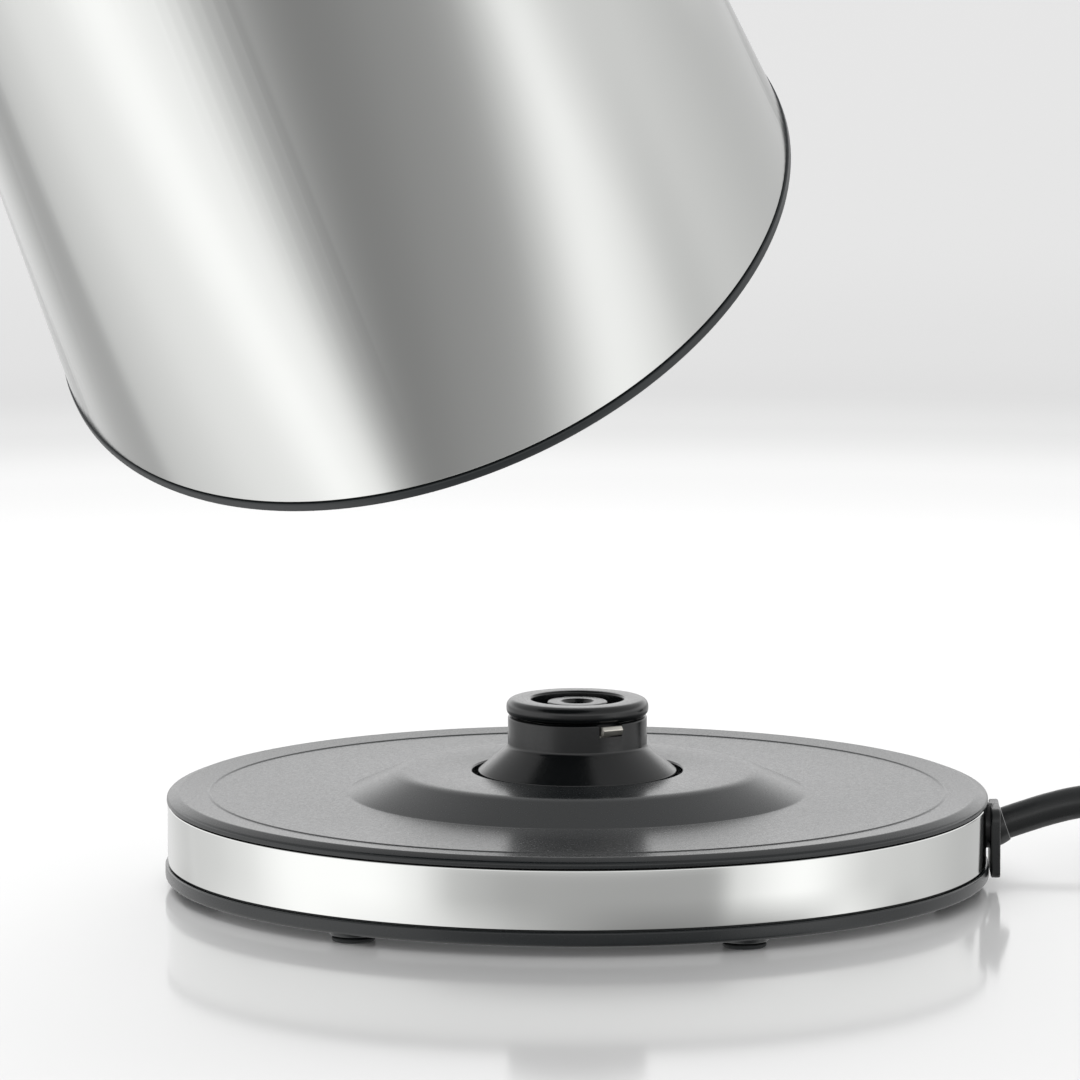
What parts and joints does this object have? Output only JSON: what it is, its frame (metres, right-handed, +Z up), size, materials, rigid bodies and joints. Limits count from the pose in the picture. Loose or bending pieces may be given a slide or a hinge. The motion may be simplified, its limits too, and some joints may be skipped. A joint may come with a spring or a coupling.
{
  "type": "cordless electric kettle",
  "caption": "Steel cordless kettle: a tapered jug with handle, spout and hinged lid, lifted and tilted over its round power base with a mains lead.",
  "frame": {"origin": "centre of the power base's flat underside, on the base's vertical axis; its feet stand 3.3 mm below", "axes": "+Z up along the base's axis, +X the way the mains lead leaves the base, the front view looks along +Y"},
  "size_m": [0.3529, 0.3528, 0.3458],
  "materials": {
    "satin_steel": "satin-polished stainless steel",
    "plate_steel": "pressed stainless steel",
    "nickel_pins": "nickel-plated brass",
    "spring_steel": "zinc-plated or spring steel",
    "brass": "bright brass contacts",
    "aluminium": "plain aluminium",
    "foot_rubber": "soft matt rubber",
    "cord_jacket": "satin black PVC jacket",
    "plug_pvc": "satin black moulded PVC",
    "dark_plastic": "black moulded plastic",
    "pale_plastic": "natural nylon",
    "clear_window": "clear polycarbonate",
    "lamp_lens": "red translucent lens",
    "wire_brown": "brown wire insulation",
    "wire_blue": "blue wire insulation",
    "grey_black_plastic": "dark grey-black moulded plastic, satin gloss"
  },
  "bodies": {
    "base": {"base_pan": "grey_black_plastic", "base_cover": "grey_black_plastic", "trim_band": "satin_steel", "connector_body": "grey_black_plastic", "connector_cap": "grey_black_plastic", "shutter_spring": "spring_steel", "inner_contact_ring": "brass", "outer_contact_ring": "brass", "contact_clip": "spring_steel", "base_screw_1": "spring_steel", "base_screw_2": "spring_steel", "base_screw_3": "spring_steel", "foot_pad_1": "foot_rubber", "foot_pad_2": "foot_rubber", "foot_pad_3": "foot_rubber", "foot_pad_4": "foot_rubber", "foot_pad_5": "foot_rubber", "foot_pad_6": "foot_rubber", "cord_gland": "plug_pvc", "wire_brown": "wire_brown", "wire_blue": "wire_blue", "mains_cord": "cord_jacket", "cord_coil": "cord_jacket", "cord_end": "cord_jacket", "plug_body": "plug_pvc", "plug_pin_1": "nickel_pins", "plug_pin_2": "nickel_pins"},
    "swivel": {"swivel_bush": "grey_black_plastic"},
    "shutter": {"shutter_ring": "dark_plastic"},
    "jug": {"jug_body": "satin_steel", "level_window": "clear_window", "underside_cover": "grey_black_plastic", "jug_socket": "dark_plastic", "centre_pin": "brass", "element_plate": "plate_steel", "heat_spreader": "aluminium", "heating_element": "aluminium", "control_unit": "pale_plastic", "underside_screw_1": "spring_steel", "underside_screw_2": "spring_steel", "underside_screw_3": "spring_steel", "spout": "satin_steel", "filter_frame": "pale_plastic", "filter_mesh": "spring_steel", "collar": "grey_black_plastic", "hinge_pin": "spring_steel", "lid_spring": "spring_steel", "handle_outer": "grey_black_plastic", "handle_inner": "grey_black_plastic", "steam_tube": "pale_plastic", "button_spring": "spring_steel", "switch_housing": "grey_black_plastic", "lever_pin": "spring_steel"},
    "lid": {"lid_shell": "satin_steel", "lid_inner": "grey_black_plastic"},
    "lid_button": {"lid_button": "dark_plastic"},
    "lid_latch": {"lid_latch": "pale_plastic"},
    "switch_lever": {"switch_lever": "dark_plastic", "lever_lens": "lamp_lens"},
    "trip_rod": {"trip_rod": "pale_plastic"}
  },
  "joints": [
    {"name": "jug_swivel", "type": "hinge", "parent": "base", "child": "swivel", "pos_m": [0, 0, 0.03], "axis": [0, 0, 1], "continuous": true},
    {"name": "jug_lift", "type": "hinge", "parent": "swivel", "child": "jug", "pos_m": [-0.10759, -0.17393, -0.01278], "axis": [0.8504, -0.5261, 0], "range_deg": [-36.28, 0]},
    {"name": "shutter_press", "type": "slide", "parent": "base", "child": "shutter", "axis": [0, 0, -1], "range_m": [0, 0.004], "stiffness_N_per_m": 150, "springref_m": -0.003, "deforming": ["shutter_spring"]},
    {"name": "lid_hinge", "type": "hinge", "parent": "jug", "child": "lid", "pos_m": [-0.06405, -0.10355, 0.32234], "axis": [-0.8504, 0.5261, 0], "range_deg": [0, 80]},
    {"name": "lid_button_press", "type": "slide", "parent": "jug", "child": "lid_button", "axis": [0.3113, 0.5032, -0.8061], "range_m": [0, 0.004], "stiffness_N_per_m": 300, "springref_m": -0.003, "deforming": ["button_spring"]},
    {"name": "lid_latch_slide", "type": "slide", "parent": "jug", "child": "lid_latch", "axis": [0.4241, 0.6856, 0.5917], "range_m": [0, 0.003]},
    {"name": "switch_tilt", "type": "hinge", "parent": "jug", "child": "switch_lever", "pos_m": [-0.00123, -0.00199, 0.19514], "axis": [-0.8504, 0.5261, 0], "range_deg": [0, 14]},
    {"name": "trip_rod_slide", "type": "slide", "parent": "jug", "child": "trip_rod", "axis": [-0.4241, -0.6856, -0.5917], "range_m": [0, 0.0012]}
  ],
  "couplings": [
    {"joint": "lid_latch_slide", "follows": "lid_button_press", "ratio": 0.75},
    {"joint": "trip_rod_slide", "follows": "switch_tilt", "m_per_rad": 0.00491}
  ]
}
